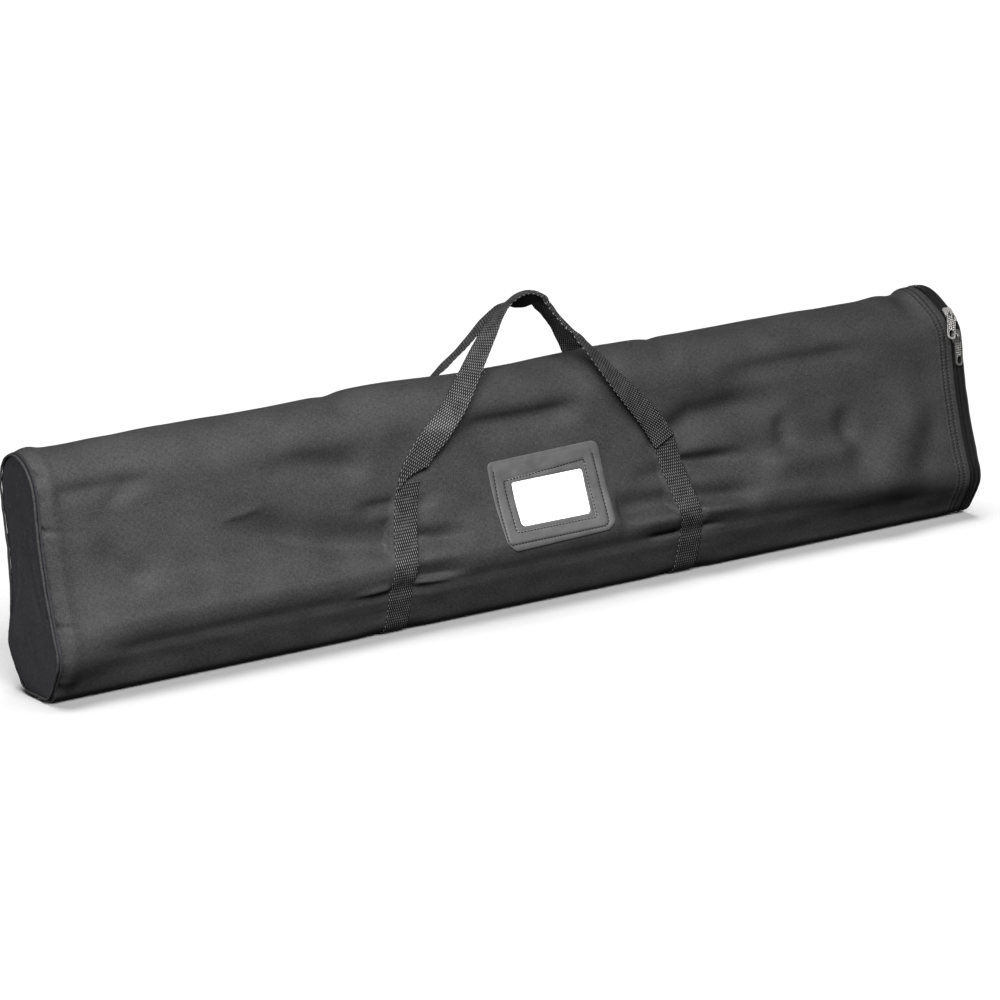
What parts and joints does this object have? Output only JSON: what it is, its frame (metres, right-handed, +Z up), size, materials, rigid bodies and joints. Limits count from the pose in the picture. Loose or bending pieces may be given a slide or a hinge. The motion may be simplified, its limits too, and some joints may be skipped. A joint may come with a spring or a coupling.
{
  "type": "music stand carry bag",
  "caption": "Long padded cloth carry bag for a folded music stand, with a zipped end flap, webbing straps and handles, and a clear card pocket.",
  "frame": {"origin": "centre of the bag's box, on the surface that it stands on", "axes": "+X along the bag from its closed end to its zipped end flap, -Y towards the front with the card pocket, +Z up"},
  "size_m": [1.046, 0.1252, 0.308],
  "materials": {
    "cloth": "fine matte polyester weave",
    "end_cloth": "fine matte polyester weave",
    "foam": "thin closed-cell foam",
    "lining": "smooth lining",
    "webbing": "coarse basket-weave webbing",
    "thread": "close bar-tack stitches",
    "tape": "fine ribbed tape",
    "coil": "nylon zip coil",
    "nickel": "nickel plate",
    "vinyl": "lightly grained vinyl",
    "film": "clear film",
    "card": "blank white card"
  },
  "bodies": {
    "bag": {"main_panel": "cloth", "main_padding": "foam", "main_lining": "lining", "mouth_facing": "tape", "underside_seam_binding": "tape", "closed_end_panel": "end_cloth", "closed_end_padding": "foam", "closed_end_lining": "lining", "closed_end_binding": "tape", "base_tongue": "cloth", "zip_tape_body": "tape", "zip_coil_body": "coil", "zip_stop_body_front": "nickel", "zip_stop_body_rear": "nickel", "strap_left": "webbing", "strap_right": "webbing", "strap_tack_front_left": "thread", "strap_tack_front_right": "thread", "strap_tack_rear_left": "thread", "strap_tack_rear_right": "thread", "label_frame": "vinyl", "label_window": "film", "label_card": "card"},
    "end_flap": {"flap_panel": "end_cloth", "flap_padding": "foam", "flap_lining": "lining", "zip_tape_flap": "tape", "zip_coil_flap": "coil", "zip_stop_flap_front": "nickel", "zip_stop_flap_rear": "nickel"},
    "lower_slider": {"zip_slider_lower": "nickel"},
    "lower_pull": {"zip_pull_lower": "nickel"},
    "upper_slider": {"zip_slider_upper": "nickel"},
    "upper_pull": {"zip_pull_upper": "nickel"},
    "front_handle": {"handle_front": "webbing"},
    "rear_handle": {"handle_rear": "webbing"}
  },
  "joints": [
    {"name": "end_flap_hinge", "type": "hinge", "parent": "bag", "child": "end_flap", "pos_m": [0.5221, 0, 0.0016], "axis": [0, 1, 0], "range_deg": [0, 90]},
    {"name": "zip_slider_lower_travel", "type": "hinge", "parent": "bag", "child": "lower_slider", "pos_m": [0.5147, -0.44081, 0.1828], "axis": [-1, 0, 0], "range_deg": [0, 17]},
    {"name": "zip_pull_lower_swing", "type": "hinge", "parent": "lower_slider", "child": "lower_pull", "pos_m": [0.5147, -0.04506, 0.19151], "axis": [-1, 0, 0], "range_deg": [0, 120]},
    {"name": "zip_slider_upper_travel", "type": "hinge", "parent": "bag", "child": "upper_slider", "pos_m": [0.5147, 0, 0.1956], "axis": [-1, 0, 0], "range_deg": [0, 150]},
    {"name": "zip_pull_upper_swing", "type": "hinge", "parent": "upper_slider", "child": "upper_pull", "pos_m": [0.5147, -0.04243, 0.21104], "axis": [-0.866, 0.171, 0.4698], "range_deg": [0, 135]},
    {"name": "handle_front_swing", "type": "hinge", "parent": "bag", "child": "front_handle", "pos_m": [0.004, -0.0456, 0.144], "axis": [1, 0, 0], "range_deg": [0, 145]},
    {"name": "handle_rear_swing", "type": "hinge", "parent": "bag", "child": "rear_handle", "pos_m": [0.004, 0.0456, 0.144], "axis": [-1, 0, 0], "range_deg": [0, 145]}
  ]
}
